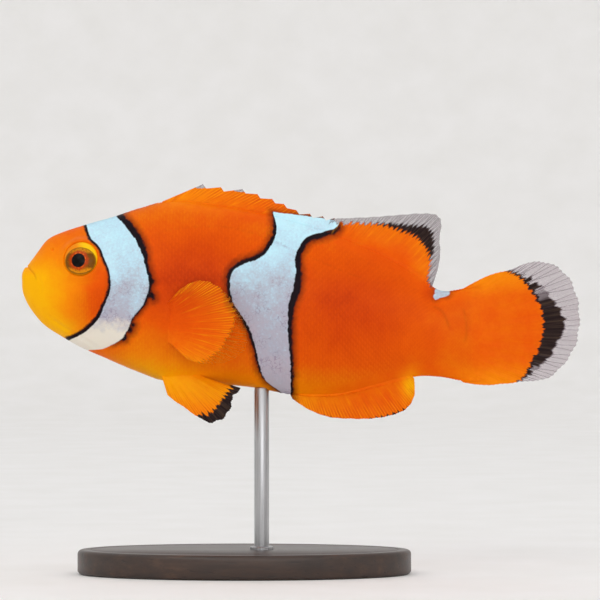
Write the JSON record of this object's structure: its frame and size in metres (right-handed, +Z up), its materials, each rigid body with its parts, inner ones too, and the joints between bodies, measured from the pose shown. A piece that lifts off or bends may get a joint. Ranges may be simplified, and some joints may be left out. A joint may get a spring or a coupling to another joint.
{
  "type": "clownfish model",
  "caption": "Life-size clownfish with white bars and spread fins, shown swimming level on a slim rod above a flat oval base.",
  "frame": {"origin": "on the floor, at the middle of the box that holds the whole model", "axes": "-X towards the snout, +X towards the tail, -Y towards the fish's left flank, +Z up"},
  "size_m": [0.09, 0.031, 0.0631],
  "materials": {
    "orange_skin": "fine overlapping scales, moist satin",
    "white_bar": "fine overlapping scales, moist satin",
    "fin": "thin ribbed membrane, satin",
    "eye": "clear, wet gloss",
    "stand_base": "dark stained, satin",
    "stand_rod": "satin"
  },
  "bodies": {
    "root": {"head": "orange_skin", "lower_jaw": "orange_skin", "gill_cover_left": "white_bar", "gill_cover_right": "white_bar", "trunk": "orange_skin", "tail_stalk": "orange_skin", "eye_left": "eye", "eye_right": "eye", "dorsal_fin_spiny": "fin", "dorsal_fin_soft": "fin", "anal_fin": "fin", "tail_fin": "fin", "pectoral_fin_left": "fin", "pectoral_fin_right": "fin", "pelvic_fin_left": "fin", "pelvic_fin_right": "fin", "stand_base": "stand_base", "stand_rod": "stand_rod"}
  },
  "joints": []
}
